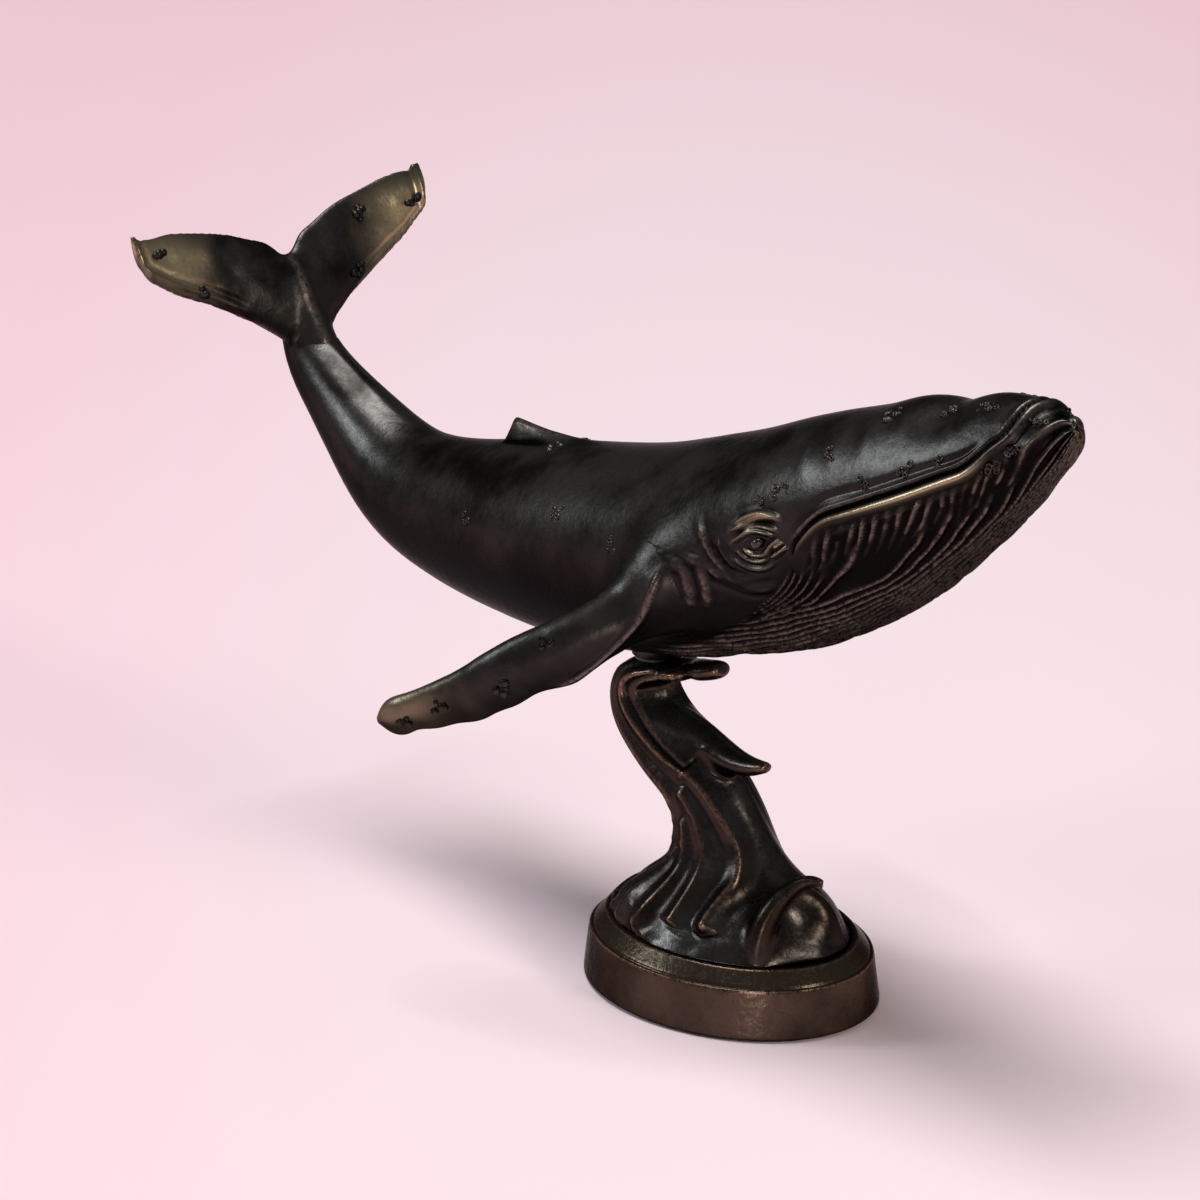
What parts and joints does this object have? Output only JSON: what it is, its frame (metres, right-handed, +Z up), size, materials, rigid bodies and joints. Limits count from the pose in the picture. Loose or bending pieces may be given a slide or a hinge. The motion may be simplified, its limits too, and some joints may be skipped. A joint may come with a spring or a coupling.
{
  "type": "whale figurine",
  "caption": "Bronze humpback whale figurine that swims over the crest of a fluted wave on an oval plinth, and turns on a pin under its belly.",
  "frame": {"origin": "middle of the felt that the figurine stands on, under the middle of the plinth", "axes": "+Z up, +X towards the whale's head, +Y towards the whale's left side"},
  "size_m": [0.301, 0.1286, 0.1772],
  "materials": {
    "plinth_bronze": "dark brown patinated bronze, satin, with a lighter bevel",
    "wave_bronze": "dark brown patinated bronze with copper ridges and grey-blue hollows",
    "whale_bronze": "brown-black patinated bronze with a faint teal bloom on its back",
    "fluke_bronze": "patinated bronze, olive gold towards the tips",
    "flipper_bronze": "patinated bronze, olive gold towards the tip",
    "eye_glass": "polished black glass bead",
    "bush_brass": "machined brass",
    "fastener_steel": "zinc plated steel",
    "ballast_steel": "plain rolled steel",
    "washer_nylon": "black nylon",
    "felt": "black wool felt"
  },
  "bodies": {
    "stand": {"plinth": "plinth_bronze", "bottom_plate": "ballast_steel", "plate_screws": "fastener_steel", "felt_pad": "felt", "wave_pedestal": "wave_bronze", "wave_screws": "fastener_steel", "screw_washers": "fastener_steel", "mount_pin": "fastener_steel", "thrust_washer": "washer_nylon"},
    "whale": {"belly_bush": "bush_brass", "whale_body": "whale_bronze", "tail_flukes": "fluke_bronze", "tail_dowel": "fastener_steel", "right_flipper": "flipper_bronze", "left_flipper": "flipper_bronze", "right_flipper_dowel": "fastener_steel", "left_flipper_dowel": "fastener_steel", "right_eye": "eye_glass", "left_eye": "eye_glass"}
  },
  "joints": [
    {"name": "whale_turn", "type": "hinge", "parent": "stand", "child": "whale", "pos_m": [-0.029, 0, 0.0798], "axis": [0, 0, 1], "range_deg": [-75, 75]}
  ]
}
